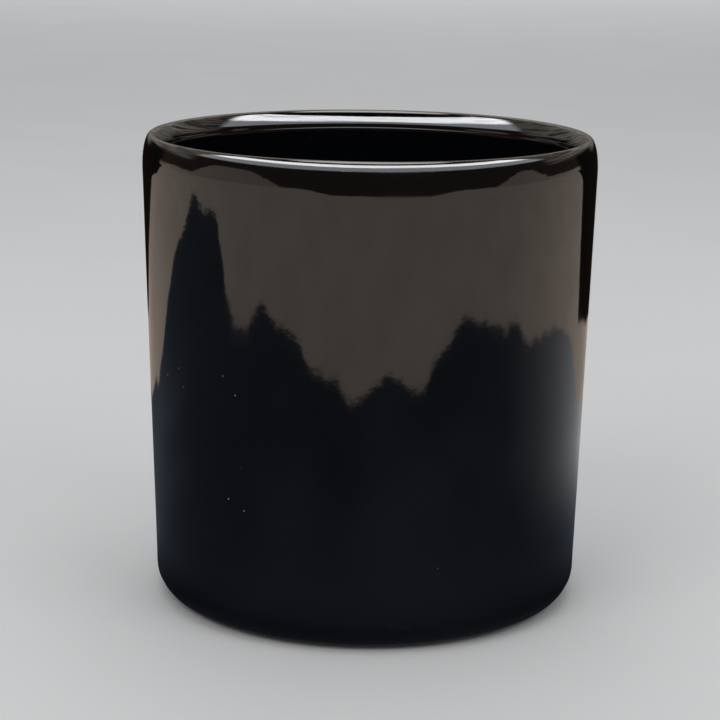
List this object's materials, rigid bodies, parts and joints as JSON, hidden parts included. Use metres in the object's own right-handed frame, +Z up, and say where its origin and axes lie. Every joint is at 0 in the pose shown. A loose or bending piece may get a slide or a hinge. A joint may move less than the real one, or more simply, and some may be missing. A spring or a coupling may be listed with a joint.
{
  "type": "planter pot",
  "caption": "Tall cylindrical planter with a slight taper, a thick rolled lip, black glaze over terracotta and a lift-out rubber drain plug.",
  "frame": {"origin": "middle of the underside, on the surface that the pot stands on", "axes": "+Z up along the pot's axis of revolution; the pot looks the same all round, so X and Y are free"},
  "size_m": [0.3984, 0.3982, 0.412],
  "materials": {
    "terracotta": "matte",
    "black_glaze": "gloss",
    "plug_rubber": "matte"
  },
  "bodies": {
    "pot": {"clay_body": "terracotta", "glaze_coat": "black_glaze"},
    "plug": {"drain_plug": "plug_rubber"}
  },
  "joints": [
    {"name": "plug_lift", "type": "slide", "parent": "pot", "child": "plug", "axis": [0, 0, 1], "range_m": [0, 0.42]}
  ]
}
